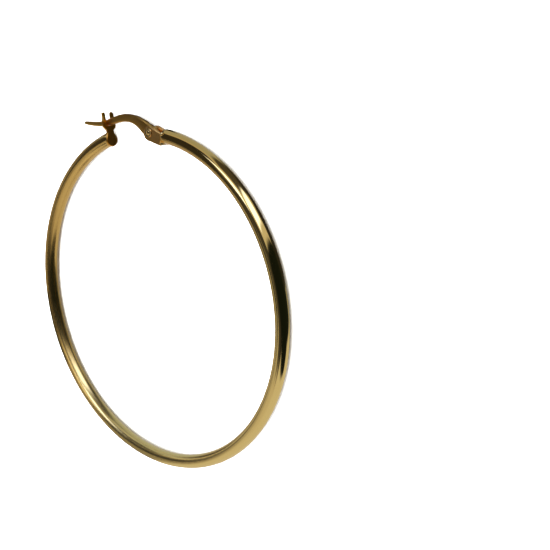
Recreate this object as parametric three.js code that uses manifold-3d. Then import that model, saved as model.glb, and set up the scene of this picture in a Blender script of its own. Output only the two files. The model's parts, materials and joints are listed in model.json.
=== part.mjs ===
// Hinged hoop earring. A hollow round tube is bent to a circle and left open at the top. A catch
// fork is soldered to one end and a hinge box to the other. A flat ear wire turns on a rivet in
// the hinge box, arches over the gap and rests in the notch of the fork.
//
// Millimetres, +Z up. The hoop lies on its side in the XY plane, with the gap and the ear wire
// at +Y and the hinge at +X. The origin is the middle of the bottom of the whole part's box.

import * as THREE from "three";
import { mergeVertices } from "three/addons/utils/BufferGeometryUtils.js";
import Module from "manifold-3d";

const wasm = await Module();
wasm.setup();

// Hoop tube, hollow and closed at both ends, with a small vent on the inside of the hoop.
const hoopOutside = 50;
const tubeDiameter = 2;
const tubeWall = 0.18;
const endCapThickness = 0.35;
const ventDiameter = 0.4;
const ventFromHinge = 2.5;

// How far the two tube ends stand from the middle of the gap.
const gapToFork = 5.42;
const gapToHinge = 5.7;

// Catch fork: a stamped plate across the tube's end that leans a little into the gap. Heights
// are above the tube's outer side.
const forkThickness = 0.28;
const forkLeanDegrees = 7.5;
const footInset = 0.16;
const waistWidth = 1.16;
const shoulderHeight = 0.85;
const shoulderExtra = 0.28;
const notchHeight = 0.88;
const prongHeight = 2.8;
const prongWidth = 0.34;
const prongSplay = 0.09;

// Ear wire, flat stock on edge. Its depth is the one in the fork, and its arch and tail are the
// middle line's.
const wireWidth = 0.8;
const wireDepth = 0.8;
const wireArch = 1.3;
const wireTail = 4.8;
const eyeWall = 0.5;

// Hinge box: two cheeks with round ends about the rivet, and a web that joins them.
const cheekThickness = 0.5;
const cheekRadius = 0.92;
const rivetFromTube = 2.25;
const webThickness = 0.35;
const webHeight = 1.66;
const webDrop = 0.5;

// Rivet.
const rivetDiameter = 0.6;
const headLip = 0.25;
const headHeight = 0.16;

// Solder fillets.
const solderRun = 0.5;
const solderRise = 0.25;
const solderWidth = 1;

// Clearances.
const runningClearance = 0.05;
const sideClearance = 0.05;
const seatClearance = 0.05;
const headClearance = 0.03;

// How far soldered parts reach into each other.
const lap = 0.15;

// Fineness of the faceted surfaces.
const hoopSteps = 72;
const tubeSides = 16;
const pinSides = 16;
const curveSteps = 5;
const wireSteps = 36;

// Middle line and depth of the ear wire, from the rivet over the crest to the fork and on to the
// tip: span is a share of the way from the rivet to the fork, tail a share of wireTail beyond
// it, rise a share of wireArch above that way, and depth a share of wireDepth.
const wireStations = [
  { span: 0.0, tail: 0.0, rise: 0.0, depth: 2.0 },
  { span: 0.1, tail: 0.0, rise: 0.13, depth: 2.2 },
  { span: 0.2, tail: 0.0, rise: 0.41, depth: 1.93 },
  { span: 0.29, tail: 0.0, rise: 0.7, depth: 1.49 },
  { span: 0.38, tail: 0.0, rise: 0.9, depth: 1.2 },
  { span: 0.5, tail: 0.0, rise: 0.99, depth: 1.08 },
  { span: 0.62, tail: 0.0, rise: 0.92, depth: 1.12 },
  { span: 0.74, tail: 0.0, rise: 0.7, depth: 1.11 },
  { span: 0.87, tail: 0.0, rise: 0.35, depth: 1.06 },
  { span: 1.0, tail: 0.0, rise: 0.0, depth: 1.0 },
  { span: 1.0, tail: 0.22, rise: -0.27, depth: 0.89 },
  { span: 1.0, tail: 0.48, rise: -0.45, depth: 0.76 },
  { span: 1.0, tail: 0.74, rise: -0.54, depth: 0.65 },
  { span: 1.0, tail: 1.0, rise: -0.59, depth: 0.5 },
];

const tubeRadius = tubeDiameter / 2;
const hoopRadius = hoopOutside / 2 - tubeRadius;
const slotWidth = wireWidth + 2 * sideClearance;
const boxWidth = slotWidth + 2 * cheekThickness;
const holeDiameter = rivetDiameter + 2 * runningClearance;

// A point of the hoop's plane at a radius and an angle about the hoop's centre.
function polar(radius, angle) {
  return new THREE.Vector2(radius * Math.cos(angle), radius * Math.sin(angle));
}

// The point that lies along one direction and up another from a start.
function from(start, along, length, up, height) {
  return start.clone().addScaledVector(along, length).addScaledVector(up, height);
}

// The tube's end under the fork: the middle of the plate's face towards the gap, the plate's own
// upward direction, and the direction from the gap into the tube.
const forkAngle = Math.PI - Math.acos(gapToFork / hoopRadius);
const forkFoot = polar(hoopRadius, forkAngle);
const forkUp = polar(1, forkAngle - THREE.MathUtils.degToRad(forkLeanDegrees));
const forkInward = new THREE.Vector2(-forkUp.y, forkUp.x);

// The tube's end at the hinge, in the same three terms.
const hingeAngle = Math.acos(gapToHinge / hoopRadius);
const hingeFoot = polar(hoopRadius, hingeAngle);
const hingeUp = polar(1, hingeAngle);
const hingeInward = new THREE.Vector2(hingeUp.y, -hingeUp.x);

// The rivet stands on the tube's centre circle, in the gap.
const rivetCentre = polar(hoopRadius, hingeAngle + 2 * Math.asin(rivetFromTube / (2 * hoopRadius)));

// The ear wire lies on the bottom of the fork's notch.
const notchBottom = tubeRadius + notchHeight;
const seatHeight = notchBottom + seatClearance + wireDepth / 2;
const wireSeat = from(forkFoot, forkInward, forkThickness / 2, forkUp, seatHeight);

// Solid of a three.js geometry once its shared corners are merged.
function solidOf(geometry) {
  const bare = geometry.clone();
  bare.deleteAttribute("normal");
  bare.deleteAttribute("uv");
  const merged = mergeVertices(bare, 1e-5);
  return new wasm.Manifold(new wasm.Mesh({
    numProp: 3,
    vertProperties: new Float32Array(merged.attributes.position.array),
    triVerts: new Uint32Array(merged.index.array),
  }));
}

// Geometry of a solid.
function geometryOf(solid) {
  const { vertProperties, triVerts } = solid.getMesh();
  const geometry = new THREE.BufferGeometry();
  geometry.setAttribute("position", new THREE.BufferAttribute(vertProperties, 3));
  geometry.setIndex(new THREE.BufferAttribute(triVerts, 1));
  geometry.computeVertexNormals();
  return geometry;
}

// An outline of the hoop's plane made solid, centred on the hoop's mid plane.
function slab(outline, width) {
  const settings = { depth: width, bevelEnabled: false, curveSegments: curveSteps };
  return solidOf(new THREE.ExtrudeGeometry(outline, settings).translate(0, 0, -width / 2));
}

// A round pin through the hoop's plane.
function pin(centre, diameter, width) {
  const geometry = new THREE.CylinderGeometry(diameter / 2, diameter / 2, width, pinSides);
  return solidOf(geometry.rotateX(Math.PI / 2).translate(centre.x, centre.y, 0));
}

// A whole ring whose section is a regular polygon with flats above, below, inside and outside.
function ring(sectionRadius) {
  const step = 2 * Math.PI / tubeSides;
  const cornerRadius = sectionRadius / Math.cos(step / 2);
  const section = [];
  for (let side = 0; side <= tubeSides; side += 1) {
    const corner = polar(cornerRadius, (side % tubeSides + 0.5) * step);
    section.push(corner.add(new THREE.Vector2(hoopRadius, 0)));
  }
  return solidOf(new THREE.LatheGeometry(section, hoopSteps).rotateX(Math.PI / 2));
}

// The slice of a ring that the gap takes out, longer by extra at each end.
function gapSlice(extra) {
  const reach = 2 * tubeDiameter;
  const forkEnd = forkThickness / 2 + extra;
  return slab(new THREE.Shape([
    from(forkFoot, forkInward, forkEnd, forkUp, -reach),
    from(hingeFoot, hingeInward, extra, hingeUp, -reach),
    from(hingeFoot, hingeInward, extra, hingeUp, reach),
    from(forkFoot, forkInward, forkEnd, forkUp, reach),
  ]), reach);
}

// The vent, drilled from the inside of the hoop into the tube.
function vent() {
  const radius = ventDiameter / 2;
  const angle = hingeAngle - ventFromHinge / hoopRadius;
  const middle = polar(hoopRadius - tubeRadius, angle);
  const geometry = new THREE.CylinderGeometry(radius, radius, tubeRadius, pinSides / 2);
  return solidOf(geometry.rotateZ(angle - Math.PI / 2).translate(middle.x, middle.y, 0));
}

// The tube, with a bore that stops short of both ends.
function makeTube() {
  const bore = ring(tubeRadius - tubeWall).subtract(gapSlice(endCapThickness));
  return ring(tubeRadius).subtract(gapSlice(0)).subtract(bore).subtract(vent());
}

// Outline of the fork, x across it and y up it from the middle of the tube's end: a round foot, a
// waist, shoulders and two prongs with a round notch between them.
function forkOutline() {
  const foot = tubeRadius - footInset;
  const waist = waistWidth / 2;
  const notch = slotWidth / 2;
  const notchCentre = notchBottom + notch;
  const prong = notch + prongWidth;
  const prongFoot = notchCentre + prongWidth;
  const shoulder = prong + shoulderExtra;
  const shoulderTop = tubeRadius + shoulderHeight;
  const bend = shoulderHeight / 2;
  const tip = notch + prongSplay + prongWidth / 2;
  const tipCentre = tubeRadius + prongHeight - prongWidth / 2;
  const outline = new THREE.Shape();
  outline.absarc(0, -footInset, foot, Math.PI, 2 * Math.PI, false);
  outline.bezierCurveTo(foot, bend - footInset, waist, foot - bend, waist, foot);
  outline.bezierCurveTo(waist, foot + bend, shoulder, shoulderTop - bend, shoulder, shoulderTop);
  outline.quadraticCurveTo(shoulder, prongFoot, prong, prongFoot);
  outline.absarc(tip, tipCentre, prongWidth / 2, 0, Math.PI, false);
  outline.lineTo(notch, notchCentre);
  outline.absarc(0, notchCentre, notch, 0, Math.PI, true);
  outline.absarc(-tip, tipCentre, prongWidth / 2, 0, Math.PI, false);
  outline.lineTo(-prong, prongFoot);
  outline.quadraticCurveTo(-shoulder, prongFoot, -shoulder, shoulderTop);
  outline.bezierCurveTo(-shoulder, shoulderTop - bend, -waist, foot + bend, -waist, foot);
  outline.bezierCurveTo(-waist, foot - bend, -foot, bend - footInset, -foot, -footInset);
  return outline;
}

// The fork in its place across the tube's end.
function makeFork() {
  const settings = { depth: forkThickness, bevelEnabled: false, curveSegments: curveSteps };
  const geometry = new THREE.ExtrudeGeometry(forkOutline(), settings);
  const across = new THREE.Vector3(0, 0, 1);
  const up = new THREE.Vector3(forkUp.x, forkUp.y, 0);
  const inward = new THREE.Vector3(forkInward.x, forkInward.y, 0);
  const place = new THREE.Matrix4().makeBasis(across, up, inward).setPosition(forkFoot.x, forkFoot.y, 0);
  return solidOf(geometry.applyMatrix4(place));
}

// A fillet of solder in a corner: it climbs solderRise up from the corner and runs out solderRun
// away from it, and its back lies inside the two pieces that it joins.
function makeFillet(corner, up, away) {
  const fillet = new THREE.Shape();
  const back = from(corner, away, -lap, up, -lap);
  const top = from(corner, away, -lap, up, solderRise);
  const crown = from(corner, away, 0, up, solderRise);
  const hollow = from(corner, away, solderRun / 4, up, solderRise / 4);
  const toe = from(corner, away, solderRun, up, 0);
  const heel = from(corner, away, solderRun, up, -lap);
  fillet.moveTo(back.x, back.y);
  for (const point of [heel, toe]) {
    fillet.lineTo(point.x, point.y);
  }
  fillet.quadraticCurveTo(hollow.x, hollow.y, crown.x, crown.y);
  fillet.lineTo(top.x, top.y);
  fillet.closePath();
  return slab(fillet, solderWidth);
}

// The hinge box with its solder on top, slotted for the ear wire's eye.
function makeHingeBox() {
  const webMiddle = from(hingeFoot, hingeInward, lap, hingeUp, -webDrop);
  const axis = webMiddle.clone().sub(rivetCentre);
  const side = Math.atan2(axis.y, axis.x) + Math.PI / 2;
  const cheek = new THREE.Shape();
  cheek.absarc(rivetCentre.x, rivetCentre.y, cheekRadius, side, side + Math.PI, false);
  for (const height of [-webHeight / 2, webHeight / 2]) {
    const corner = from(webMiddle, hingeUp, height, hingeInward, 0);
    cheek.lineTo(corner.x, corner.y);
  }
  const far = rivetFromTube + 2 * cheekRadius;
  const slot = new THREE.Shape([
    from(hingeFoot, hingeInward, -webThickness, hingeUp, -far),
    from(hingeFoot, hingeInward, -webThickness, hingeUp, far),
    from(hingeFoot, hingeInward, -far, hingeUp, far),
    from(hingeFoot, hingeInward, -far, hingeUp, -far),
  ]);
  const overBox = from(hingeFoot, hingeInward, 0, hingeUp, webHeight / 2 - webDrop);
  return slab(cheek, boxWidth)
    .add(makeFillet(overBox, hingeUp, hingeInward.clone().negate()))
    .subtract(slab(slot, slotWidth));
}

// The soldered metal: tube, fork, hinge box and fillets, bored for the rivet.
function makeHoop() {
  const behindFork = from(forkFoot, forkInward, forkThickness, forkUp, tubeRadius);
  const underBox = from(hingeFoot, hingeInward, lap, hingeUp, -tubeRadius);
  return makeTube()
    .add(makeFork())
    .add(makeHingeBox())
    .add(makeFillet(behindFork, forkUp, forkInward))
    .add(makeFillet(underBox, hingeUp.clone().negate(), hingeInward))
    .subtract(pin(rivetCentre, holeDiameter, 2 * boxWidth));
}

// The way from the rivet to the ear wire's seat in the fork, and the direction up from it.
const wireWay = wireSeat.clone().sub(rivetCentre);
const wireAlong = wireWay.clone().normalize();
const wireUp = new THREE.Vector2(wireAlong.y, -wireAlong.x);

// A station's point on the ear wire's middle line.
function stationPoint({ span, tail, rise }) {
  const length = span * wireWay.length() + tail * wireTail;
  return from(rivetCentre, wireAlong, length, wireUp, rise * wireArch);
}

// Outline of the ear wire: half the depth above its middle line and half below.
function wireOutline() {
  const middle = new THREE.SplineCurve(wireStations.map(stationPoint));
  const depths = new THREE.SplineCurve(wireStations.map(({ depth }, row) => new THREE.Vector2(row, depth)));
  const upper = [];
  const lower = [];
  for (let step = 0; step <= wireSteps; step += 1) {
    const share = step / wireSteps;
    const half = depths.getPoint(share).y * wireDepth / 2;
    upper.push(middle.getPoint(share).addScaledVector(wireUp, half));
    lower.unshift(middle.getPoint(share).addScaledVector(wireUp, -half));
  }
  return new THREE.Shape([...upper, ...lower]);
}

// The ear wire with a round eye and a round tip.
function makeEarWire() {
  const last = wireStations[wireStations.length - 1];
  return slab(wireOutline(), wireWidth)
    .add(pin(rivetCentre, holeDiameter + 2 * eyeWall, wireWidth))
    .add(pin(stationPoint(last), last.depth * wireDepth, wireWidth))
    .subtract(pin(rivetCentre, holeDiameter, 2 * wireWidth));
}

// The rivet: a shank with a low domed head at each end.
function makeRivet() {
  const shank = rivetDiameter / 2;
  const head = shank + headLip;
  const seat = boxWidth / 2 + headClearance;
  const upperHalf = [
    new THREE.Vector2(shank, seat),
    new THREE.Vector2(head, seat),
    new THREE.Vector2(head * 0.92, seat + headHeight * 0.5),
    new THREE.Vector2(head * 0.55, seat + headHeight * 0.88),
    new THREE.Vector2(0, seat + headHeight),
  ];
  const lowerHalf = upperHalf.map(({ x, y }) => new THREE.Vector2(x, -y)).reverse();
  const geometry = new THREE.LatheGeometry([...lowerHalf, ...upperHalf], pinSides);
  return solidOf(geometry.rotateX(Math.PI / 2).translate(rivetCentre.x, rivetCentre.y, 0));
}

// A named piece in polished pale yellow gold.
function piece(name, solid) {
  const gold = new THREE.MeshStandardMaterial({ color: 0xc9ad66, roughness: 0.15, metalness: 1 });
  const mesh = new THREE.Mesh(geometryOf(solid), gold);
  mesh.name = name;
  return mesh;
}

const earring = new THREE.Group();
earring.add(piece("hoop", makeHoop()));
earring.add(piece("ear_wire", makeEarWire()));
earring.add(piece("hinge_rivet", makeRivet()));

// The group moves so that the origin is the bottom centre of its box.
const box = new THREE.Box3().setFromObject(earring);
const middle = box.getCenter(new THREE.Vector3());
earring.position.set(-middle.x, -middle.y, -box.min.z);

export default earring;
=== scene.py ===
"""Looks of a hinged hoop earring in polished yellow gold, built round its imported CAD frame.

The hoop lies on its side on a pale floor. Its tube, catch fork, hinge box, solder, ear wire and
rivet are smooth meshes that stand for the faceted CAD nodes. Sizes are in millimetres in the
part's own frame, and every mesh is scaled to metres when it is finished.
"""

import json
import logging
import math
from collections.abc import Callable, Sequence
from dataclasses import dataclass
from enum import Enum

import bmesh
import bpy
from bmesh.types import BMEdge, BMesh, BMVert
from bpy.types import Material, Node, NodeSocket, NodeTree, Object, World
from mathutils import Matrix, Vector

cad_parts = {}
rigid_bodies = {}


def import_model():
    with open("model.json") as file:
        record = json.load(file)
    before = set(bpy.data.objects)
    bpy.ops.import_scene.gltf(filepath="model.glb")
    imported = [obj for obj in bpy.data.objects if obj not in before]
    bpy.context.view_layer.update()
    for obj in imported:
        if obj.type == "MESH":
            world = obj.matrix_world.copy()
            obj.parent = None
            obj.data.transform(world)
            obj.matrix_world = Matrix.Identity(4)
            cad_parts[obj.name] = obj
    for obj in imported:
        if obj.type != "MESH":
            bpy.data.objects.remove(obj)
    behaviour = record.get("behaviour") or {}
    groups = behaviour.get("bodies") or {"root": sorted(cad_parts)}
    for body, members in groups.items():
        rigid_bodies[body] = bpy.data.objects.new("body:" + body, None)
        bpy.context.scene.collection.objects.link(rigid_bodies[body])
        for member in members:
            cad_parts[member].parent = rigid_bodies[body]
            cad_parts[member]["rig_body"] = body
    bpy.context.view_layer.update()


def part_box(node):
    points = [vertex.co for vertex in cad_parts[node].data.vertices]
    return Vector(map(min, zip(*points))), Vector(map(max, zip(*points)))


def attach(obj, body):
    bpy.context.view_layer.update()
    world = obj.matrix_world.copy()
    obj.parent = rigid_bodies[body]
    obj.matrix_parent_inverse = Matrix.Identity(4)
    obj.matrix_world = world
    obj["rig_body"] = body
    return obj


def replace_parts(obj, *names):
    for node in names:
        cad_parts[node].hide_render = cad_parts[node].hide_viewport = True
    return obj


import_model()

log = logging.getLogger("earring")

MM = 0.001
EDGE_STEPS = 5
ARC_STEPS = 24


class Body(Enum):
    """The bodies of the CAD frame that a piece can ride on."""

    HOOP = "hoop_body"
    WIRE = "wire_body"


class Slot(Enum):
    """The record's material slots."""

    HOOP = "hoop_gold"
    WIRE = "wire_gold"
    RIVET = "rivet_gold"


def linear(hex_colour: str) -> tuple[float, float, float, float]:
    """Turns an sRGB hex colour into linear light.

    Args:
        hex_colour: six hex digits after a hash.

    Returns:
        Red, green, blue and an alpha of 1.
    """
    shares = [int(hex_colour[k : k + 2], 16) / 255 for k in (1, 3, 5)]
    light = [s / 12.92 if s <= 0.04045 else ((s + 0.055) / 1.055) ** 2.4 for s in shares]
    return (*light, 1.0)


def add_node(tree: NodeTree, kind: str, inputs: dict | None = None, **settings) -> Node:
    """Adds one node to a tree.

    Args:
        tree: the node tree it goes into.
        kind: the node's type name.
        inputs: for each input's name or number, a value or the output socket that feeds it.
        settings: the node's own attributes.

    Returns:
        The node.
    """
    node = tree.nodes.new(kind)
    for name, value in settings.items():
        setattr(node, name, value)
    for name, value in (inputs or {}).items():
        if isinstance(value, NodeSocket):
            tree.links.new(value, node.inputs[name])
        else:
            node.inputs[name].default_value = value
    return node


def direction(angle: float) -> Vector:
    """Unit vector in the hoop's plane at an angle in radians from +X."""
    return Vector((math.cos(angle), math.sin(angle), 0.0))


def arc(centre: Vector, radius: float, start: float, end: float, steps: int = ARC_STEPS) -> list[Vector]:
    """Points along a round stretch of an outline, both ends included.

    Args:
        centre: middle of the arc.
        radius: its radius.
        start: angle of its first point in radians.
        end: angle of its last point, larger for anticlockwise.
        steps: number of chords.

    Returns:
        The points in order.
    """
    angles = [start + (end - start) * k / steps for k in range(steps + 1)]
    return [centre + radius * Vector((math.cos(a), math.sin(a))) for a in angles]


def bezier(controls: Sequence[Vector], steps: int = ARC_STEPS // 2) -> list[Vector]:
    """Points along a Bezier curve of any degree.

    Args:
        controls: its control points.
        steps: number of chords.

    Returns:
        The points in order, both ends included.
    """
    points = []
    for k in range(steps + 1):
        level = list(controls)
        while len(level) > 1:
            level = [a.lerp(b, k / steps) for a, b in zip(level, level[1:])]
        points.append(level[0])
    return points


def along_chain(points: Sequence[Vector], share: float) -> Vector:
    """A point on the smooth curve through a chain of points.

    Args:
        points: the chain.
        share: place along it, from 0 at the first point to 1 at the last.

    Returns:
        The point, by uniform Catmull-Rom interpolation.
    """
    last = len(points) - 1
    place = share * last
    k = min(int(place), last - 1)
    before, start, end, after = (points[min(max(k + step, 0), last)] for step in (-1, 0, 1, 2))
    leave, arrive = (end - before) / 2, (after - start) / 2
    t = place - k
    cubic = (2 * start - 2 * end + leave + arrive) * t**3
    square = (3 * end - 3 * start - 2 * leave - arrive) * t**2
    return cubic + square + leave * t + start


@dataclass
class Outline:
    """A closed line of a flat piece: anticlockwise round metal, clockwise round a hole.

    Attributes:
        points: its corners.
        rounding: how far the edge is rounded at each corner.
    """

    points: list[Vector]
    rounding: list[float]

    @classmethod
    def even(cls, points: Sequence[Vector], rounding: float) -> "Outline":
        """An outline with the same rounding all along, without corners that repeat.

        Args:
            points: its corners.
            rounding: the edge's radius.

        Returns:
            The outline.
        """
        kept = [p for p, q in zip(points, [points[-1], *points]) if (p - q).length > 1e-6]
        return cls(kept, [rounding] * len(kept))

    def inset(self, share: float) -> list[Vector]:
        """The corners moved into the metal by a share of the rounding.

        Args:
            share: 0 leaves them in place, 1 moves them by the whole rounding.

        Returns:
            The moved corners.
        """
        points = self.points
        moved = []
        for before, here, after, radius in zip([points[-1], *points], points, [*points[1:], points[0]], self.rounding):
            way = (after - before).normalized()
            moved.append(here + share * radius * Vector((-way.y, way.x)))
        return moved


def join_rings(bm: BMesh, rings: Sequence[Sequence[BMVert]]) -> None:
    """Skins the gap between each closed ring of vertices and the next."""
    for lower, upper in zip(rings, rings[1:]):
        for k in range(len(lower)):
            after = (k + 1) % len(lower)
            bm.faces.new((lower[k], lower[after], upper[after], upper[k]))


def add_plate(bm: BMesh, outlines: Sequence[Outline], thickness: float, place: Matrix) -> None:
    """Adds a flat piece with rounded edges.

    Args:
        bm: the mesh it joins.
        outlines: the metal's outline, then its holes.
        thickness: its thickness, centred on the outlines' own plane.
        place: turns the outlines' plane into the part's frame.
    """
    caps: dict[int, list[BMEdge]] = {-1: [], 1: []}
    turns = [math.pi / 2 * k / EDGE_STEPS for k in range(EDGE_STEPS + 1)]
    for outline in outlines:
        rings = []
        for side, order in ((-1, reversed(turns)), (1, turns)):
            for turn in order:
                corners = outline.inset(1 - math.cos(turn))
                sinks = [radius * (1 - math.sin(turn)) for radius in outline.rounding]
                rings.append([
                    bm.verts.new(place @ Vector((p.x, p.y, side * (thickness / 2 - sink))))
                    for p, sink in zip(corners, sinks)
                ])
        join_rings(bm, rings)
        for side, ring in ((-1, rings[0]), (1, rings[-1])):
            caps[side] += [bm.edges.get((a, b)) for a, b in zip(ring, [*ring[1:], ring[0]])]
    for edges in caps.values():
        bmesh.ops.triangle_fill(bm, use_beauty=True, edges=edges)


def add_turned(bm: BMesh, profile: Sequence[Vector], place: Matrix, sides: int = 2 * ARC_STEPS) -> None:
    """Adds a turned piece.

    Args:
        bm: the mesh it joins.
        profile: (radius, height) points that start and end on the axis.
        place: turns the piece's own +Z axis into the part's frame.
        sides: number of facets round it.
    """
    angles = [2 * math.pi * k / sides for k in range(sides)]
    rings = [
        [bm.verts.new(place @ Vector((p.x * math.cos(a), p.x * math.sin(a), p.y))) for a in angles]
        for p in profile[1:-1]
    ]
    join_rings(bm, rings)
    for end, ring in ((profile[0], rings[0]), (profile[-1], rings[-1])):
        pole = bm.verts.new(place @ Vector((0.0, 0.0, end.y)))
        for k in range(sides):
            bm.faces.new((ring[k], ring[(k + 1) % sides], pole))


def finish_piece(bm: BMesh, name: str, gold: Material) -> Object:
    """Turns a mesh in millimetres into a smooth, dressed object in metres.

    Args:
        bm: the mesh, which is freed.
        name: the piece's name.
        gold: its material.

    Returns:
        The object, linked to the scene.
    """
    bmesh.ops.recalc_face_normals(bm, faces=bm.faces)
    bmesh.ops.scale(bm, vec=(MM, MM, MM), verts=bm.verts)
    mesh = bpy.data.meshes.new(name)
    bm.to_mesh(mesh)
    bm.free()
    mesh.shade_smooth()
    mesh.materials.append(gold)
    piece = bpy.data.objects.new(name, mesh)
    bpy.context.scene.collection.objects.link(piece)
    piece.modifiers.new("flat_faces", "WEIGHTED_NORMAL").keep_sharp = True
    return piece


def seat_piece(piece: Object, body: Body, slot: Slot, node: str) -> Object:
    """Says what a piece rides on and which node it stands for; its slot is not used."""
    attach(piece, body.value)
    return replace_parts(piece, node)


@dataclass(frozen=True)
class PolishedGold:
    """Nine carat yellow gold, buffed with rouge to a mirror.

    The buff leaves hairlines too fine to see one by one, which only soften the reflections. Drawn
    and stamped metal keeps a slow waviness under the polish, so that long reflections wander a
    little, and handling leaves faint warmer patches.

    Attributes:
        name: the material's name.
        metal: its sRGB colour.
        patina: its sRGB colour where handling has warmed it.
        patina_share: how much of that the patches show.
        patina_size: size of the patches in millimetres.
        painted_shade: how much warmer and darker the colour is painted towards one side of the hoop, a painted shade
            where less light falls.
        roughness: roughness where it is cleanest.
        haze: roughness that the patches add.
        worn: roughness that wear adds on the side of the hoop that lies against the neck.
        ripple: height of the slow waviness in millimetres.
        ripple_size: its length in millimetres.
        hairline: height of the hairlines in millimetres.
    """

    name: str
    metal: str
    patina: str
    patina_share: float = 0.35
    patina_size: float = 5.0
    painted_shade: float = 0.0
    roughness: float = 0.07
    haze: float = 0.05
    worn: float = 0.0
    ripple: float = 0.002
    ripple_size: float = 4.0
    hairline: float = 0.0001

    # Hairlines are about 0.02 mm apart. They are drawn ten times as coarse, or none would show.
    hairline_size = 0.2
    # Painted shade: the colour turns warmer and darker towards this bearing.
    painted_shade_bearing = 125.0
    worn_bearing = 205.0

    @staticmethod
    def toward(tree: NodeTree, place: NodeSocket, bearing: float, most: float) -> NodeSocket:
        """A value that grows across the hoop.

        Args:
            tree: the material's node tree.
            place: each point's place in metres.
            bearing: the side where it is largest, in degrees about +Z from +X.
            most: the value there.

        Returns:
            A socket with 0 on the far side.
        """
        reach = add_node(
            tree, "ShaderNodeVectorMath", {0: place, 1: direction(math.radians(bearing))}, operation="DOT_PRODUCT"
        ).outputs["Value"]
        return add_node(
            tree, "ShaderNodeMapRange",
            {"Value": reach, "From Min": -15 * MM, "From Max": 15 * MM, "To Min": 0.0, "To Max": most},
            interpolation_type="SMOOTHSTEP",
        ).outputs["Result"]

    def build(self) -> Material:
        """Makes the material.

        Returns:
            A metal whose colour, roughness and relief vary over the piece.
        """
        material = bpy.data.materials.new(self.name)
        material.use_nodes = True
        tree = material.node_tree
        tree.nodes.clear()
        place = add_node(tree, "ShaderNodeTexCoord").outputs["Object"]
        patches = add_node(
            tree, "ShaderNodeTexNoise",
            {"Vector": place, "Scale": 1 / (self.patina_size * MM), "Detail": 3.0, "Roughness": 0.6},
        ).outputs["Fac"]
        # Painted shade: a warmer, darker colour laid on towards one side of the hoop, added to the patina's share.
        painted_shade = self.toward(tree, place, self.painted_shade_bearing, self.painted_shade)
        spread = add_node(
            tree, "ShaderNodeMath", {0: patches, 1: self.patina_share, 2: painted_shade}, operation="MULTIPLY_ADD"
        ).outputs[0]
        colour = add_node(
            tree, "ShaderNodeMix",
            {"Factor": spread, 6: linear(self.metal), 7: linear(self.patina)},
            data_type="RGBA",
        ).outputs[2]
        worn = self.toward(tree, place, self.worn_bearing, self.worn)
        hazy = add_node(
            tree, "ShaderNodeMapRange",
            {
                "Value": patches, "From Min": 0.35, "From Max": 0.75,
                "To Min": self.roughness, "To Max": self.roughness + self.haze,
            },
        ).outputs["Result"]
        dull = add_node(tree, "ShaderNodeMath", {0: hazy, 1: worn}, operation="ADD").outputs[0]
        waves = add_node(
            tree, "ShaderNodeTexNoise",
            {"Vector": place, "Scale": 1 / (self.ripple_size * MM), "Detail": 1.0},
        ).outputs["Fac"]
        waviness = add_node(
            tree, "ShaderNodeBump",
            {"Height": waves, "Strength": 1.0, "Distance": self.ripple * MM},
        ).outputs["Normal"]
        lines = add_node(
            tree, "ShaderNodeTexNoise",
            {"Vector": place, "Scale": 1 / (self.hairline_size * MM), "Detail": 2.0, "Distortion": 1.5},
        ).outputs["Fac"]
        relief = add_node(
            tree, "ShaderNodeBump",
            {"Height": lines, "Normal": waviness, "Strength": 1.0, "Distance": self.hairline * MM},
        ).outputs["Normal"]
        shader = add_node(
            tree, "ShaderNodeBsdfPrincipled",
            {"Base Color": colour, "Metallic": 1.0, "Roughness": dull, "Normal": relief},
        )
        add_node(tree, "ShaderNodeOutputMaterial", {"Surface": shader.outputs["BSDF"]})
        return material


@dataclass(frozen=True)
class TubeEnd:
    """One end of the tube.

    Attributes:
        foot: middle of the end.
        up: away from the hoop's centre, along the fitting that is soldered there.
        inward: square to up, from the gap into the tube.
    """

    foot: Vector
    up: Vector
    inward: Vector

    def point(self, inward: float, up: float, across: float = 0.0) -> Vector:
        """A point inward, up and across the hoop's plane from the foot."""
        return self.foot + inward * self.inward + up * self.up + Vector((0.0, 0.0, across))

    def plane(self, inward: float) -> Matrix:
        """Turns a plate's own across, up and inward into the part's frame, at a depth in the tube."""
        place = Matrix((Vector((0.0, 0.0, 1.0)), self.up, self.inward)).transposed().to_4x4()
        place.translation = self.point(inward, 0.0)
        return place


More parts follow.
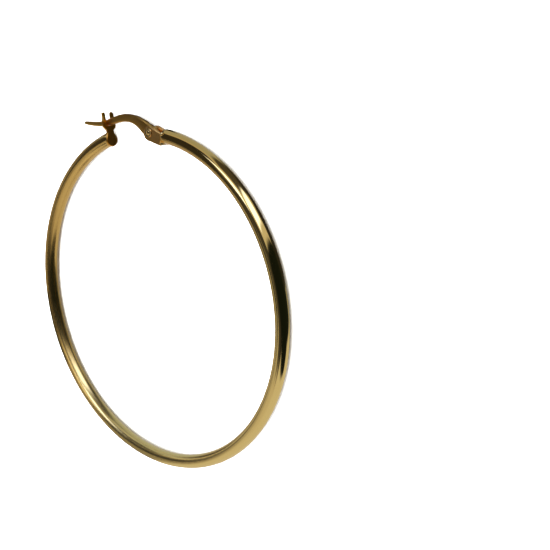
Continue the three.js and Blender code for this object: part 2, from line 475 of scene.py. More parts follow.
@dataclass(frozen=True)
class Layout:
    """Places that the pieces share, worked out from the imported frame.

    Attributes:
        centre: the hoop's centre.
        outside: the hoop's outside diameter.
        rivet: middle of the rivet.
        rivet_length: its length over both heads.
        rivet_head: diameter of its heads.
        wire_width: the ear wire's width.
        tube_diameter: outside diameter of the tube.
        gap_to_fork: from the middle of the gap to the catch end.
        gap_to_hinge: from the middle of the gap to the hinge end.
        fork_lean: how far the fork leans into the gap, in degrees.
    """

    centre: Vector
    outside: float
    rivet: Vector
    rivet_length: float
    rivet_head: float
    wire_width: float
    tube_diameter: float = 2.0
    gap_to_fork: float = 5.42
    gap_to_hinge: float = 5.7
    fork_lean: float = 7.5

    @classmethod
    def from_frame(cls) -> "Layout":
        """Reads the shared places from the boxes of the CAD nodes."""
        hoop, rivet, wire = ([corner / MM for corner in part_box(node)] for node in ("hoop", "hinge_rivet", "ear_wire"))
        outside = hoop[1].x - hoop[0].x
        middle = Vector(((hoop[0].x + hoop[1].x) / 2, hoop[0].y + outside / 2, (hoop[0].z + hoop[1].z) / 2))
        return cls(
            centre=middle,
            outside=outside,
            rivet=(rivet[0] + rivet[1]) / 2,
            rivet_length=rivet[1].z - rivet[0].z,
            rivet_head=rivet[1].y - rivet[0].y,
            wire_width=wire[1].z - wire[0].z,
        )

    @property
    def tube_radius(self) -> float:
        """Outside radius of the tube."""
        return self.tube_diameter / 2

    @property
    def radius(self) -> float:
        """Radius of the tube's centre circle."""
        return self.outside / 2 - self.tube_radius

    @property
    def fork_angle(self) -> float:
        """Angle of the catch end about the hoop's centre."""
        return math.pi - math.acos(self.gap_to_fork / self.radius)

    @property
    def hinge_angle(self) -> float:
        """Angle of the hinge end about the hoop's centre."""
        return math.acos(self.gap_to_hinge / self.radius)

    @property
    def fork_end(self) -> TubeEnd:
        """The catch end, whose up direction leans with the fork."""
        up = direction(self.fork_angle - math.radians(self.fork_lean))
        foot = self.centre + self.radius * direction(self.fork_angle)
        return TubeEnd(foot, up, Vector((-up.y, up.x, 0.0)))

    @property
    def hinge_end(self) -> TubeEnd:
        """The hinge end."""
        up = direction(self.hinge_angle)
        foot = self.centre + self.radius * up
        return TubeEnd(foot, up, Vector((up.y, -up.x, 0.0)))


@dataclass
class HoopTube:
    """The drawn tube, bent to a circle, with eased ends.

    Attributes:
        layout: the shared places.
        fork_lap: how far inside the catch end the tube's face lies, behind the fork's.
        fork_easing: edge radius at the catch end.
        hinge_easing: edge radius at the hinge end.
        set_in: how far the hinge end is bent in from the true circle.
        set_length: how much of the circle that bend takes, in degrees.
        steps: number of rings along it.
        sides: number of facets round it.
    """

    layout: Layout
    fork_lap: float = 0.05
    fork_easing: float = 0.1
    hinge_easing: float = 0.34
    set_in: float = 0.2
    set_length: float = 40.0
    steps: int = 540
    sides: int = 56

    def ring(self, bm: BMesh, angle: float, radius: float, end: TubeEnd | None, depth: float) -> list:
        """Adds one ring of vertices.

        Args:
            bm: the mesh it joins.
            angle: its place about the hoop's centre.
            radius: its own radius.
            end: the tube end whose plane it is slid on to, or None for a square ring.
            depth: how far inside that end the plane lies.

        Returns:
            The vertices in order.
        """
        out, tangent = direction(angle), direction(angle + math.pi / 2)
        to_hinge = (self.layout.hinge_angle - angle) % (2 * math.pi)
        share = max(0.0, 1 - to_hinge / math.radians(self.set_length))
        middle = self.layout.centre + (self.layout.radius - self.set_in * share**2) * out
        corners = []
        for k in range(self.sides):
            turn = 2 * math.pi * k / self.sides
            corner = middle + radius * (math.cos(turn) * out + Vector((0.0, 0.0, math.sin(turn))))
            if end:
                slide = (depth - (corner - end.foot).dot(end.inward)) / tangent.dot(end.inward)
                corner += slide * tangent
            corners.append(bm.verts.new(corner))
        return corners

    def eased(self, bm: BMesh, end: TubeEnd, angle: float, face: float, easing: float) -> list[list]:
        """Adds the rings that round one end, from its face inwards.

        Args:
            bm: the mesh they join.
            end: the tube end.
            angle: its place about the hoop's centre.
            face: how far inside the end its face lies.
            easing: the edge's radius.

        Returns:
            The rings, the smallest first.
        """
        rings = []
        for k in range(EDGE_STEPS + 1):
            turn = math.pi / 2 * (1 - k / EDGE_STEPS)
            radius = self.layout.tube_radius - easing * (1 - math.cos(turn))
            rings.append(self.ring(bm, angle, radius, end, face + easing * (1 - math.sin(turn))))
        return rings

    def build(self, gold: Material) -> Object:
        """Makes and seats the tube.

        Args:
            gold: its material.

        Returns:
            The piece.
        """
        layout = self.layout
        bm = bmesh.new()
        margin = 2 * self.hinge_easing / layout.radius
        first, last = layout.fork_angle + margin, layout.hinge_angle + 2 * math.pi - margin
        rings = self.eased(bm, layout.fork_end, layout.fork_angle, self.fork_lap, self.fork_easing)
        for k in range(self.steps + 1):
            rings.append(self.ring(bm, first + (last - first) * k / self.steps, layout.tube_radius, None, 0.0))
        rings += reversed(self.eased(bm, layout.hinge_end, layout.hinge_angle, 0.0, self.hinge_easing))
        join_rings(bm, rings)
        for ring in (rings[0], rings[-1]):
            bm.faces.new(ring)
        return seat_piece(finish_piece(bm, "hoop_tube", gold), Body.HOOP, Slot.HOOP, "hoop")


@dataclass
class CatchFork:
    """The stamped plate across the catch end: a round foot, a waist, shoulders and two prongs.

    Attributes:
        layout: the shared places.
        thickness: how far the plate reaches into the tube's end.
        proud: how far its face stands in front of that end.
        foot_inset: how much smaller the foot is than the tube.
        foot_drop: how far its middle lies below the tube's.
        waist: width of the waist.
        shoulder_height: top of the shoulders above the tube's outer side.
        shoulder_extra: how far they reach past the prongs.
        notch_height: bottom of the notch above the tube's outer side.
        side_clearance: room beside the ear wire.
        prong_height: tips of the prongs above the tube's outer side.
        prong_width: width of a prong.
        prong_splay: how far the tips spread.
        notch_squareness: share of the notch's half width that its bottom corners round off.
        rounding: edge radius.
    """

    layout: Layout
    thickness: float = 0.28
    proud: float = 0.07
    foot_inset: float = 0.05
    foot_drop: float = 0.2
    waist: float = 1.22
    shoulder_height: float = 0.85
    shoulder_extra: float = 0.15
    notch_height: float = 0.88
    side_clearance: float = 0.05
    prong_height: float = 2.8
    prong_width: float = 0.52
    prong_splay: float = 0.01
    notch_squareness: float = 0.6
    rounding: float = 0.08

    def outline(self) -> list[Vector]:
        """Outline of the plate, across it and up it from the middle of the tube's end."""
        tube = self.layout.tube_radius
        foot = tube - self.foot_inset
        waist = self.waist / 2
        notch = self.layout.wire_width / 2 + self.side_clearance
        notch_centre = Vector((0.0, tube + self.notch_height + notch))
        prong = notch + self.prong_width
        prong_foot = notch_centre.y + self.prong_width
        shoulder = prong + self.shoulder_extra
        shoulder_top = tube + self.shoulder_height
        bend = self.shoulder_height / 2
        tip = notch + self.prong_splay + self.prong_width / 2
        tip_height = tube + self.prong_height - self.prong_width / 2
        foot_arc = arc(Vector((0.0, -self.foot_drop)), foot, math.pi, 2 * math.pi)
        right = [
            *bezier([Vector(p) for p in (
                (foot, -self.foot_drop), (foot, bend - self.foot_drop), (waist, foot - bend), (waist, foot))]),
            *bezier([Vector(p) for p in (
                (waist, foot), (waist, foot + bend), (shoulder, shoulder_top - bend), (shoulder, shoulder_top))]),
            *bezier([Vector(p) for p in ((shoulder, shoulder_top), (shoulder, prong_foot), (prong, prong_foot))]),
            *arc(Vector((tip, tip_height)), self.prong_width / 2, 0.0, math.pi),
        ]
        left = [Vector((-p.x, p.y)) for p in reversed(right)]
        bend = notch * self.notch_squareness
        notch_floor = notch_centre.y - notch + bend
        notch_line = [
            *arc(Vector((notch - bend, notch_floor)), bend, 0.0, -math.pi / 2),
            *arc(Vector((bend - notch, notch_floor)), bend, -math.pi / 2, -math.pi),
        ]
        return [*foot_arc, *right, *notch_line, *left]

    def build(self, gold: Material) -> Object:
        """Makes and seats the fork.

        Args:
            gold: its material.

        Returns:
            The piece.
        """
        place = self.layout.fork_end.plane((self.thickness - self.proud) / 2)
        bm = bmesh.new()
        add_plate(bm, [Outline.even(self.outline(), self.rounding)], self.thickness + self.proud, place)
        return seat_piece(finish_piece(bm, "catch_fork", gold), Body.HOOP, Slot.HOOP, "hoop")


@dataclass
class HingeBox:
    """The folded clevis on the hinge end: two cheeks round the rivet and a web between them.

    Attributes:
        layout: the shared places.
        cheek_thickness: thickness of a cheek.
        cheek_radius: radius of its round end.
        cheek_drop: how far that end's middle lies below the rivet.
        web_thickness: how far the web stands out of the tube's end.
        web_height: height of the box at the tube.
        web_drop: how far its middle lies below the tube's centre circle.
        side_clearance: room beside the ear wire's eye.
        lap: how far the box reaches into the tube.
        hole: diameter of the rivet's hole.
        rounding: edge radius.
    """

    layout: Layout
    cheek_thickness: float = 0.5
    cheek_radius: float = 1.0
    cheek_drop: float = 0.12
    web_thickness: float = 0.35
    web_height: float = 1.66
    web_drop: float = 0.64
    side_clearance: float = 0.05
    lap: float = 0.15
    hole: float = 0.7
    rounding: float = 0.1

    @property
    def slot(self) -> float:
        """Width of the slot for the ear wire's eye."""
        return self.layout.wire_width + 2 * self.side_clearance

    @property
    def heights(self) -> tuple[float, float]:
        """Bottom and top of the box at the tube, above the tube's centre circle."""
        return -self.web_drop - self.web_height / 2, -self.web_drop + self.web_height / 2

    def corners(self) -> tuple[Vector, Vector]:
        """The cheek's lower and upper corner at the tube."""
        low, high = (self.layout.hinge_end.point(self.lap, height) for height in self.heights)
        return low, high

    def cheek_outline(self) -> list[Vector]:
        """Outline of a cheek in the hoop's plane."""
        low, high = self.corners()
        middle = self.layout.rivet - self.cheek_drop * self.layout.hinge_end.up
        axis = (low + high) / 2 - middle
        side = math.atan2(axis.y, axis.x) + math.pi / 2
        round_end = arc(middle.xy, self.cheek_radius, side, side + math.pi, 2 * ARC_STEPS)
        return [*round_end, low.xy, high.xy]

    def build(self, gold: Material) -> Object:
        """Makes and seats the box.

        Args:
            gold: its material.

        Returns:
            The piece.
        """
        bm = bmesh.new()
        cheek = Outline.even(self.cheek_outline(), self.rounding)
        hole = Outline.even(arc(self.layout.rivet.xy, self.hole / 2, 2 * math.pi, 0.0), self.rounding / 4)
        for side in (-1, 1):
            offset = side * (self.slot + self.cheek_thickness) / 2
            add_plate(bm, [cheek, hole], self.cheek_thickness, Matrix.Translation((0, 0, self.layout.rivet.z + offset)))
        end = self.layout.hinge_end
        low, high = self.heights
        inset = self.rounding / 2
        web = [
            end.point(-self.web_thickness, low + inset), end.point(self.lap, low + inset),
            end.point(self.lap, high - inset), end.point(-self.web_thickness, high - inset),
        ]
        web_outline = Outline.even([corner.xy for corner in web], self.rounding / 2)
        width = self.slot + self.cheek_thickness
        add_plate(bm, [web_outline], width, Matrix.Translation((0, 0, self.layout.rivet.z)))
        return seat_piece(finish_piece(bm, "hinge_box", gold), Body.HOOP, Slot.HOOP, "hoop")


@dataclass
class SolderSeams:
    """The solder that joins the fork and the hinge box to the tube, drawn into each corner.

    Attributes:
        layout: the shared places.
        fork: the fork that is soldered on.
        box: the hinge box that is soldered on.
        run: how far the solder runs out along the tube.
        rise: how far it climbs.
        half_width: half its width across the hoop's plane.
        lap: how far its back lies inside the pieces that it joins.
        ends: share of a seam's section that is left at its two ends.
        layers: number of sections across it.
        bead: radius of the bead at each cheek's upper corner.
        bead_height: how far the bead stands off the cheek.
        bead_shift: how far from that corner it lies, along the tube.
        skin: thickness of the solder that floods the box's end round the tube.
    """

    layout: Layout
    fork: CatchFork
    box: HingeBox
    run: float = 0.5
    rise: float = 0.25
    half_width: float = 0.62
    lap: float = 0.15
    ends: float = 0.12
    layers: int = 14
    bead: float = 0.25
    bead_height: float = 0.185
    bead_shift: float = 0.2
    skin: float = 0.04

    def add_beads(self, bm: BMesh, corner: Vector) -> None:
        """Adds the bead that the solder leaves at the upper corner of each cheek.

        Args:
            bm: the mesh they join.
            corner: the corner, in the middle of the hinge box.
        """
        face = self.box.slot / 2 + self.box.cheek_thickness
        middle = corner + self.bead_shift * self.layout.hinge_end.inward
        turns = [math.pi / 2 * k / EDGE_STEPS for k in range(EDGE_STEPS, -1, -1)]
        dome = [Vector((self.bead * math.cos(turn), self.bead_height * math.sin(turn))) for turn in turns]
        for side in (-1, 1):
            place = Matrix.Translation(middle + Vector((0.0, 0.0, side * face))) @ Matrix.Diagonal((1, 1, side, 1))
            add_turned(bm, [Vector((0.0, dome[0].y)), *dome[1:], Vector((self.bead, -self.lap)),
                            Vector((0.0, -self.lap))], place, ARC_STEPS)

    def add_skin(self, bm: BMesh) -> None:
        """Adds the solder that floods the box's end round the tube."""
        box = self.box
        half = box.slot / 2 + box.cheek_thickness - box.rounding / 2
        low, high = box.heights[0] + box.rounding, box.heights[1]
        corners = [Vector(corner) for corner in ((-half, low), (half, low), (half, high), (-half, high))]
        place = self.layout.hinge_end.plane(box.lap)
        add_plate(bm, [Outline.even(corners, self.skin / 2)], 2 * self.skin, place)

    def section(self, corner: Vector, up: Vector, away: Vector, rise: float, run: float) -> list[Vector]:
        """One section of a seam, hollow towards its corner."""
        crown, toe = corner + rise * up, corner + run * away
        hollow = corner + rise / 4 * up + run / 4 * away
        back = corner - self.lap * up - self.lap * away
        return [back, toe - self.lap * up, *bezier([toe, hollow, crown], ARC_STEPS // 3), crown - self.lap * away]

    def add_seam(
        self, bm: BMesh, corner: Vector, up: Vector, away: Vector,
        sizes: tuple[float, float], sink: Callable[[float], float],
    ) -> None:
        """Adds a seam that dies out at both ends.

        Args:
            bm: the mesh it joins.
            corner: the corner's middle.
            up: the way it climbs.
            away: the way it runs out.
            sizes: how far it climbs and runs out.
            sink: how far the metal under it has fallen away at a distance across.
        """
        rings = []
        for k in range(self.layers + 1):
            across = -self.half_width * math.cos(math.pi * k / self.layers)
            fullness = max(self.ends, math.sqrt(1 - (across / self.half_width) ** 2))
            start = corner + Vector((0.0, 0.0, across)) - sink(across) * up
            section = self.section(start, up, away, fullness * sizes[0], fullness * sizes[1])
            rings.append([bm.verts.new(point) for point in section])
        join_rings(bm, rings)
        for ring in (rings[0], rings[-1]):
            bm.faces.new(ring)

    def build(self, gold: Material) -> Object:
        """Makes and seats the three seams, the beads and the skin.

        Args:
            gold: their material.

        Returns:
            The piece.
        """
        layout, tube = self.layout, self.layout.tube_radius
        fork_end, hinge_end = layout.fork_end, layout.hinge_end
        tangent = direction(layout.fork_angle + math.pi / 2)
        bm = bmesh.new()

        def round_tube(across: float) -> float:
            """How far the tube's outer side has fallen away."""
            return tube - math.sqrt(tube**2 - across**2)

        behind_fork = fork_end.point(self.fork.thickness, tube)
        self.add_seam(bm, behind_fork, fork_end.up, tangent, (self.rise, self.run), round_tube)
        low, high = self.box.corners()
        slope = (layout.rivet - high).normalized()
        over_box = hinge_end.point(0.0, self.box.web_height / 2 - self.box.web_drop)
        self.add_seam(bm, over_box, hinge_end.up, slope, (self.rise / 2, self.run), lambda across: 0.0)
        under_box = hinge_end.point(self.box.lap, -tube)
        self.add_seam(bm, under_box, -hinge_end.up, hinge_end.inward, (self.rise, self.run), round_tube)
        self.add_beads(bm, high)
        self.add_skin(bm)
        return seat_piece(finish_piece(bm, "solder_seams", gold), Body.HOOP, Slot.HOOP, "hoop")


@dataclass(frozen=True)
class WireStation:
    """A place on the ear wire's middle line.

    Attributes:
        span: share of the way from the rivet to the fork.
        tail: share of the tail beyond the fork.
        rise: share of the arch above that way.
        depth: share of the wire's depth in the fork.
    """

    span: float
    tail: float
    rise: float
    depth: float


# Each station's span, tail, rise and depth.
WIRE_STATIONS = (
    WireStation(0.0,0.0,0.0,2.1),
    WireStation(0.1,0.0,0.12,2.34),
    WireStation(0.2,0.0,0.39,2.27),
    WireStation(0.29,0.0,0.68,1.87),
    WireStation(0.38,0.0,0.88,1.58),
    WireStation(0.5,0.0,0.96,1.4),
    WireStation(0.62,0.0,0.89,1.4),
    WireStation(0.74,0.0,0.67,1.36),
    WireStation(0.87,0.0,0.33,1.25),
    WireStation(1.0,0.0,0.0,1.05),
    WireStation(1.0,0.22,-0.26,0.94),
    WireStation(1.0,0.48,-0.43,0.83),
    WireStation(1.0,0.74,-0.52,0.74),
    WireStation(1.0,1.0,-0.57,0.62),
)


@dataclass
class EarWire:
    """The flat stamped wire: an eye, a swan neck, a crest and a short tail that tapers.

    Attributes:
        layout: the shared places.
        fork: the fork whose notch it rests in.
        depth: its depth in the fork.
        arch: height of the crest.
        tail: length beyond the fork.
        eye_wall: metal round the rivet's hole.
        hole: diameter of that hole.
        seat_clearance: room under it in the notch.
        rounding: edge radius.
        edge_share: most of its half depth that the rounding takes where it is thin.
        tip_width: share of the width that is left at the tip.
        steps: number of chords along each side.
    """

    layout: Layout
    fork: CatchFork
    depth: float = 0.8
    arch: float = 1.3
    tail: float = 4.8
    eye_wall: float = 0.5
    hole: float = 0.7
    seat_clearance: float = 0.03
    rounding: float = 0.2
    edge_share: float = 0.85
    tip_width: float = 0.85
    steps: int = 150

    @property
    def seat(self) -> Vector:
        """Where the middle line crosses the fork."""
        notch = self.layout.tube_radius + self.fork.notch_height
        return self.layout.fork_end.point(self.fork.thickness / 2, notch + self.seat_clearance + self.depth / 2)

    @property
    def along(self) -> Vector:
        """Unit vector from the rivet to the seat."""
        return (self.seat - self.layout.rivet).xy.normalized()

    @property
    def up(self) -> Vector:
        """Unit vector square to that way, away from the hoop's centre."""
        return Vector((self.along.y, -self.along.x))

    def middle(self, station: WireStation) -> Vector:
        """A station's point in the hoop's plane."""
        reach = station.span * (self.seat - self.layout.rivet).length + station.tail * self.tail
        return self.layout.rivet.xy + reach * self.along + station.rise * self.arch * self.up

    def outline(self) -> Outline:
        """Outline of the wire, rounded less where it is thin."""
        middles = [self.middle(station) for station in WIRE_STATIONS]
        depths = [Vector((station.depth, 0.0)) for station in WIRE_STATIONS]
        eye = self.hole / 2 + self.eye_wall
        upper, lower = [], []
        for k in range(self.steps + 1):
            middle = along_chain(middles, k / self.steps)
            half = along_chain(depths, k / self.steps).x * self.depth / 2
            for side, sign in ((upper, 1), (lower, -1)):
                corner = middle + sign * half * self.up
                if (corner - self.layout.rivet.xy).length > eye:
                    side.append((corner, half))
        tip = WIRE_STATIONS[-1].depth * self.depth / 2
        start = math.atan2(self.up.y, self.up.x)
        tip_arc = [(corner, tip) for corner in arc(middles[-1], tip, start, start + math.pi)[1:-1]]
        first, last = (side[0][0] - self.layout.rivet.xy for side in (lower, upper))
        eye_start = math.atan2(first.y, first.x)
        eye_end = math.atan2(last.y, last.x)
        eye_end += 2 * math.pi if eye_end < eye_start else 0.0
        eye_arc = [(corner, eye) for corner in arc(self.layout.rivet.xy, eye, eye_start, eye_end, 2 * ARC_STEPS)[1:-1]]
        rows = [*upper, *tip_arc, *reversed(lower), *eye_arc]
        rounding = [min(self.rounding, self.edge_share * half) for _, half in rows]
        return Outline([corner for corner, _ in rows], rounding)

    def taper(self, bm: BMesh) -> None:
        """Narrows the tail towards its tip."""
        reach = (self.seat - self.layout.rivet).length
        for vertex in bm.verts:
            beyond = (vertex.co.xy - self.layout.rivet.xy).dot(self.along) - reach
            share = min(max(beyond / self.tail, 0.0), 1.0)
            width = 1 - (1 - self.tip_width) * share**2
            vertex.co.z = self.layout.rivet.z + (vertex.co.z - self.layout.rivet.z) * width

    def build(self, gold: Material) -> Object:
        """Makes and seats the ear wire.

        Args:
            gold: its material.

        Returns:
            The piece.
        """
        bm = bmesh.new()
        hole = Outline.even(arc(self.layout.rivet.xy, self.hole / 2, 2 * math.pi, 0.0), self.rounding / 8)
        place = Matrix.Translation((0, 0, self.layout.rivet.z))
        add_plate(bm, [self.outline(), hole], self.layout.wire_width, place)
        self.taper(bm)
        return seat_piece(finish_piece(bm, "ear_wire_arch", gold), Body.WIRE, Slot.WIRE, "ear_wire")


@dataclass
class HingeRivet:
    """The pin that the ear wire turns on, peened at each end to a button with a rim round it.

    Attributes:
        layout: the shared places.
        box: the hinge box that it holds.
        shank: diameter of the pin.
        head_clearance: room under each head.
        head_extra: how much further than the solid's each head reaches.
        button: share of the head's radius that the button takes.
        groove: share of the head's height that is left between button and rim.
        rim: share of the head's height at the top of the rim.
    """

    layout: Layout
    box: HingeBox
    shank: float = 0.6
    head_clearance: float = 0.03
    head_extra: float = 0.08
    button: float = 0.6
    groove: float = 0.3
    rim: float = 0.55

    def build(self, gold: Material) -> Object:
        """Makes and seats the rivet.

        Args:
            gold: its material.

        Returns:
            The piece.
        """
        seat = self.box.slot / 2 + self.box.cheek_thickness + self.head_clearance
        height = self.layout.rivet_length / 2 - seat
        head = self.layout.rivet_head / 2 + self.head_extra
        button, valley = self.button * head, seat + self.groove * height
        rim, crest = (button + head) / 2, seat + self.rim * height
        dome = [
            *bezier([Vector(p) for p in (
                (0.0, seat + height), (button / 2, seat + height), (button * 0.9, valley), (button, valley))]),
            *bezier([Vector(p) for p in ((button, valley), (rim, valley), (rim, crest), (head, crest), (head, seat))]),
        ]
        upper = [*(p for p, q in zip(dome, dome[1:]) if (p - q).length > 1e-6), dome[-1], Vector((self.shank / 2, seat))]
        lower = [Vector((p.x, -p.y)) for p in reversed(upper)]
        bm = bmesh.new()
        add_turned(bm, [*upper, *lower], Matrix.Translation(self.layout.rivet))
        return seat_piece(finish_piece(bm, "rivet_pin", gold), Body.HOOP, Slot.RIVET, "hinge_rivet")


@dataclass(frozen=True)
class Card:
    """One panel of the light tent round the earring, by the directions that it fills.

    Attributes:
        azimuth: its middle in degrees about +Z, from +X.
        elevation: its middle above the hoop's plane, in degrees.
        half_width: half its width in degrees of azimuth.
        half_height: half its height in degrees.
        strength: its brightness, where white paper in good light is 1.
        tint: its sRGB colour.
        soft_side: how softly its sides fade, in degrees.
        soft_top: how softly its top and bottom fade, in degrees.
    """

    azimuth: float
    elevation: float
    half_width: float
    half_height: float
    strength: float
    tint: str = "#FFFFFF"
    soft_side: float = 6.0
    soft_top: float = 6.0

    @property
    def glow(self) -> tuple[float, float, float, float]:
        """Its linear light."""
        red, green, blue, _ = linear(self.tint)
        return self.strength * red, self.strength * green, self.strength * blue, 1.0


@dataclass(frozen=True)
class Board:
    """A dark or pale board near the earring, which only the polished metal mirrors.

    Attributes:
        middle: its centre in millimetres.
        facing: the way that it faces.
        width: its width in millimetres, level with the floor.
        height: its height in millimetres.
        strength: its brightness, where white paper in good light is 1.
    """

    middle: tuple[float, float, float]
    facing: tuple[float, float, float]
    width: float
    height: float
    strength: float


# Each card's azimuth, elevation, half width, half height and strength.
PAPER = Card(0,0,180,90,0.8, tint="#F3F6FA")
TENT = {
    "far_paper": Card(125,-20,45,42,0.7, tint="#DDEEFF"),
    "ground_edge": Card(0,-90,180,25,0.38, tint="#DCEBFF", soft_top=10),
    "high_shade": Card(258,58,56,16,0.64, soft_side=30, soft_top=26),
    "zenith_gap": Card(0,90,180,28,0.06, soft_top=8),
    "side_shade": Card(197,25,20,38,0.5, soft_side=26, soft_top=20),
    "lintel": Card(142,45,46,15,0.035, soft_side=10, soft_top=7),
    "post": Card(164,16,9,24,0.07),
    "gap_between_lamps": Card(73,-12,14,46,0.08),
    "dark_ceiling": Card(305,70,24,19,0.03, soft_side=12, soft_top=10),
    "dark_room": Card(-10,40,39,60,0.012, tint="#D8FFF0"),
    "dark_counter": Card(-1,-30,30,30,0.015, tint="#D8FFF0", soft_top=14),
    "low_side_shade": Card(178,-4,20,17,0.42, soft_side=12, soft_top=12),
    "side_lamp": Card(50.5,20,10.5,29,4.8, tint="#B4C8FF"),
    "top_lamp": Card(95,57,21,8.5,5.8, tint="#B4C8FF"),
}
# Each board's middle, the way that it faces, its width, height and strength.
BOARDS = {
    "pale_board": Board((-22.5, -13, 15),(0, 0, -1),7,9,1.1),
    "far_side_board": Board((-25, -36, 5),(1, 0, 0),18,30,0.3),
    "catch_side_flag": Board((-75, 62.5, 125),(1, 0, 0),131,150,0.045),
    "high_side_flag": Board((-75, -24, 145),(1, 0, 0),42,110,0.05),
    "mid_side_flag": Board((-75, -25, 50),(1, 0, 0),40,28,0.22),
    "low_side_flag": Board((-75, -54, 58),(1, 0, 0),14,40,0.06),
    "left_edge_flag": Board((-30, -8.5, 6),(1, 0, 0),13,9,0.05),
    "clasp_flag": Board((-10.5, 31, -6),(0, 0, 1),23,14,0.03),
    "clasp_back_flag": Board((-11, 31, 2.5),(0, -1, 0),22,6,0.03),
    "hinge_side_flag": Board((43, 34, -38),(0, 0, 1),70,68,0.03),
}


@dataclass
class Studio:
    """A white sweep under the earring, inside a light tent with two soft lamps and dark gaps.

    Attributes:
        floor_radius: radius of the sweep's flat floor in millimetres.
        bend_radius: radius of the bend between its floor and its wall.
        wall_height: height of its wall.
        paper: its sRGB colour.
        lamp_height: height of the overhead soft box that lights the sweep.
        lamp_size: its width.
        lamp_power: its power in watts.
    """

    floor_radius: float = 600.0
    bend_radius: float = 300.0
    wall_height: float = 900.0
    paper: str = "#F7F7F5"
    lamp_height: float = 700.0
    lamp_size: float = 1400.0
    lamp_power: float = 34.0

    def build_sweep(self) -> Object:
        """Makes the sweep, which only the camera sees."""
        bend = arc(Vector((self.floor_radius, self.bend_radius)), self.bend_radius, -math.pi / 2, 0.0)
        top = self.floor_radius + self.bend_radius
        profile = [Vector((0.0, 0.0)), *bend, Vector((top, self.wall_height)), Vector((0.0, self.wall_height))]
        bm = bmesh.new()
        add_turned(bm, profile, Matrix.Identity(4), 4 * ARC_STEPS)
        material = bpy.data.materials.new("matt_white_paper")
        material.use_nodes = True
        shader = material.node_tree.nodes["Principled BSDF"]
        shader.inputs["Base Color"].default_value = linear(self.paper)
        shader.inputs["Roughness"].default_value = 0.9
        sweep = finish_piece(bm, "paper_sweep", material)
        sweep.visible_glossy = sweep.visible_diffuse = sweep.visible_shadow = False
        return sweep

    def build_lamp(self) -> Object:
        """Hangs the overhead soft box, which the polished metal doesn't mirror."""
        data = bpy.data.lights.new("overhead_soft_box", "AREA")
        data.shape, data.size, data.energy = "DISK", self.lamp_size * MM, self.lamp_power
        lamp = bpy.data.objects.new("overhead_soft_box", data)
        lamp.location = (0.0, 0.0, self.lamp_height * MM)
        lamp.visible_glossy = False
        bpy.context.scene.collection.objects.link(lamp)
        return lamp

    def build_board(self, name: str, board: Board) -> Object:
        """Hangs one board.

        Args:
            name: its name.
            board: its place, size and brightness.

        Returns:
            The board's object.
        """
        material = bpy.data.materials.new(name)
        material.use_nodes = True
        tree = material.node_tree
        tree.nodes.clear()
        glow = add_node(tree, "ShaderNodeEmission", {"Strength": board.strength})
        add_node(tree, "ShaderNodeOutputMaterial", {"Surface": glow.outputs[0]})
        turn = Vector(board.facing).to_track_quat("Z", "Y").to_matrix().to_4x4()
        place = Matrix.Translation(board.middle) @ turn @ Matrix.Diagonal((board.width / 2, board.height / 2, 1, 1))
        bm = bmesh.new()
        bm.faces.new([bm.verts.new(place @ Vector((x, y, 0.0))) for x, y in ((-1, -1), (1, -1), (1, 1), (-1, 1))])
        piece = finish_piece(bm, name, material)
        piece.visible_camera = piece.visible_diffuse = piece.visible_shadow = False
        return piece

    def card_mask(self, tree: NodeTree, card: Card, azimuth: NodeSocket,
                  elevation: NodeSocket) -> NodeSocket:
        """Where a card shows.

        Args:
            tree: the world's node tree.
            card: the card.
            azimuth: each direction's azimuth in radians.
            elevation: each direction's elevation in radians.

        Returns:
            A socket that is 1 on the card and 0 off it.
        """
        sides = []
        for angle, middle, half, soft in (
            (azimuth, card.azimuth, card.half_width, card.soft_side),
            (elevation, card.elevation, card.half_height, card.soft_top),
        ):
            off = add_node(
                tree, "ShaderNodeMath", {0: angle, 1: math.radians(middle)}, operation="SUBTRACT"
            ).outputs[0]
            turned = add_node(
                tree, "ShaderNodeMath", {0: off, 1: math.pi, 2: -math.pi}, operation="WRAP"
            ).outputs[0]
            distance = add_node(tree, "ShaderNodeMath", {0: turned}, operation="ABSOLUTE").outputs[0]
            edge_in, edge_out = math.radians(half - soft / 2), math.radians(half + soft / 2)
            sides.append(add_node(
                tree, "ShaderNodeMapRange",
                {"Value": distance, "From Min": edge_out, "From Max": edge_in, "To Min": 0.0, "To Max": 1.0},
                interpolation_type="SMOOTHSTEP",
            ).outputs["Result"])
        return add_node(tree, "ShaderNodeMath", {0: sides[0], 1: sides[1]}, operation="MULTIPLY").outputs[0]

    def build_tent(self) -> World:
        """Makes and sets the world: the tent's paper with its cards laid over each other in order."""
        world = bpy.data.worlds.new("light_tent")
        bpy.context.scene.world = world
        world.use_nodes = True
        tree = world.node_tree
        tree.nodes.clear()
        way = add_node(tree, "ShaderNodeTexCoord").outputs["Generated"]
        parts = add_node(tree, "ShaderNodeSeparateXYZ", {0: way}).outputs
        azimuth = add_node(tree, "ShaderNodeMath", {0: parts["Y"], 1: parts["X"]}, operation="ARCTAN2").outputs[0]
        elevation = add_node(tree, "ShaderNodeMath", {0: parts["Z"]}, operation="ARCSINE").outputs[0]
        world.cycles_visibility.diffuse = False
        light = PAPER.glow
        for card in TENT.values():
            light = add_node(
                tree, "ShaderNodeMix",
                {"Factor": self.card_mask(tree, card, azimuth, elevation), 6: light, 7: card.glow},
                data_type="RGBA",
            ).outputs[2]
        background = add_node(tree, "ShaderNodeBackground", {"Color": light, "Strength": 1.0})
        add_node(tree, "ShaderNodeOutputWorld", {"Surface": background.outputs[0]})
        return world

    def build(self) -> None:
        """Sets up the sweep, the lamp, the boards and the tent."""
        self.build_sweep()
        self.build_lamp()
        for name, board in BOARDS.items():
            self.build_board(name, board)
        self.build_tent()
        bpy.context.scene.view_settings.view_transform = "Standard"


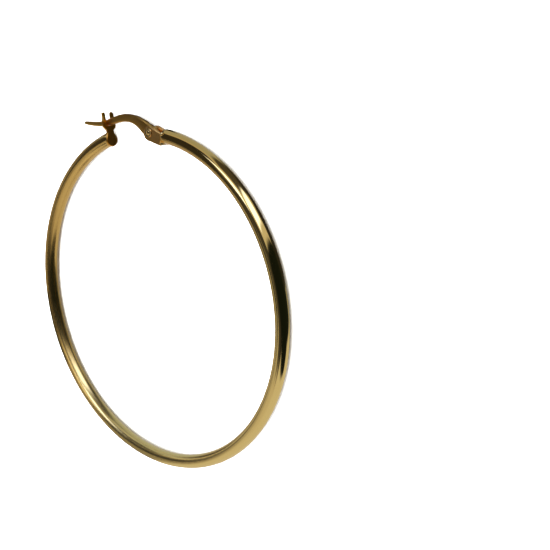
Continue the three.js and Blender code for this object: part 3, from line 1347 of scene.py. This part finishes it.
@dataclass
class TableCamera:
    """The camera above the floor, as the reference view has it round the hoop.

    Attributes:
        distance: from the hoop's centre to the lens, in millimetres.
        azimuth: the lens's direction from the hoop's centre, in degrees about +Z from +X.
        elevation: its height above the hoop's plane, in degrees.
        axis_azimuth: azimuth of the lens's own axis, in degrees.
        axis_elevation: its elevation.
        roll: turn of the camera about its axis, in degrees.
        focal_length: in millimetres on a 36 mm sensor.
    """

    distance: float = 138.243
    azimuth: float = 13.295
    elevation: float = 40.523
    axis_azimuth: float = 13.910
    axis_elevation: float = 47.866
    roll: float = -105.355
    focal_length: float = 62.41

    @staticmethod
    def bearing(azimuth: float, elevation: float) -> Vector:
        """Unit vector at an azimuth and an elevation in degrees."""
        flat = math.cos(math.radians(elevation)) * direction(math.radians(azimuth))
        return flat + Vector((0.0, 0.0, math.sin(math.radians(elevation))))

    def build(self, layout: Layout) -> Object:
        """Sets the scene's camera.

        Args:
            layout: the shared places.

        Returns:
            The camera.
        """
        data = bpy.data.cameras.new("table_camera")
        data.sensor_width, data.lens = 36.0, self.focal_length
        data.clip_start, data.clip_end = 0.01, 10.0
        camera = bpy.data.objects.new("table_camera", data)
        back = self.bearing(self.axis_azimuth, self.axis_elevation)
        level = Vector((0.0, 0.0, 1.0)).cross(back).normalized()
        turn = Matrix((level, back.cross(level), back)).transposed().to_4x4()
        camera.matrix_world = (
            Matrix.Translation((layout.centre + self.distance * self.bearing(self.azimuth, self.elevation)) * MM)
            @ turn
            @ Matrix.Rotation(math.radians(self.roll), 4, "Z")
        )
        bpy.context.scene.collection.objects.link(camera)
        bpy.context.scene.camera = camera
        return camera


# The tube's colour carries painted shade, warmer and darker towards one side of the hoop.
TUBE_GOLD = PolishedGold(
    "gold_drawn_tube", metal="#E7C77C", patina="#D2A85C", patina_share=0.15, painted_shade=0.85, worn=0.14)
# The fork's gold is painted darker and more orange than the tube's, a painted shade that stands in for the brown shade
# the fork mirrors.
FORK_GOLD_PAINTED_SHADE = PolishedGold(
    "gold_fork_painted_shade", metal="#E8A23C", patina="#D08A30", roughness=0.28, ripple_size=1.2, ripple=0.001)
BOX_GOLD = PolishedGold(
    "gold_folded_box", metal="#ECB464", patina="#DCA050", roughness=0.34, ripple_size=1.2, ripple=0.001)
WIRE_GOLD = PolishedGold(
    "gold_ear_wire", metal="#ECB458", patina="#D69A46", roughness=0.28, ripple_size=1.5, ripple=0.002)
RIVET_GOLD = PolishedGold("gold_peened_rivet", metal="#EEC67A", patina="#DDAE5C", ripple_size=0.6, ripple=0.001)
SOLDER_GOLD = PolishedGold("gold_easy_solder", metal="#EECB84", patina="#E0B870", roughness=0.1, ripple_size=0.5)


def report(piece: Object) -> None:
    """Logs a piece's name, its number of faces and the body it rides."""
    log.info("%s: %d faces, rides %s", piece.name, len(piece.data.polygons), piece["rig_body"])


def main() -> None:
    """Builds the camera, the studio and the earring in order."""
    logging.basicConfig(level=logging.INFO, format="%(message)s")
    layout = Layout.from_frame()
    TableCamera().build(layout)
    Studio().build()
    fork = CatchFork(layout)
    box = HingeBox(layout)
    report(HoopTube(layout).build(TUBE_GOLD.build()))
    report(fork.build(FORK_GOLD_PAINTED_SHADE.build()))
    report(box.build(BOX_GOLD.build()))
    report(SolderSeams(layout, fork, box).build(SOLDER_GOLD.build()))
    report(EarWire(layout, fork).build(WIRE_GOLD.build()))
    report(HingeRivet(layout, box).build(RIVET_GOLD.build()))


if __name__ == "__main__":
    main()
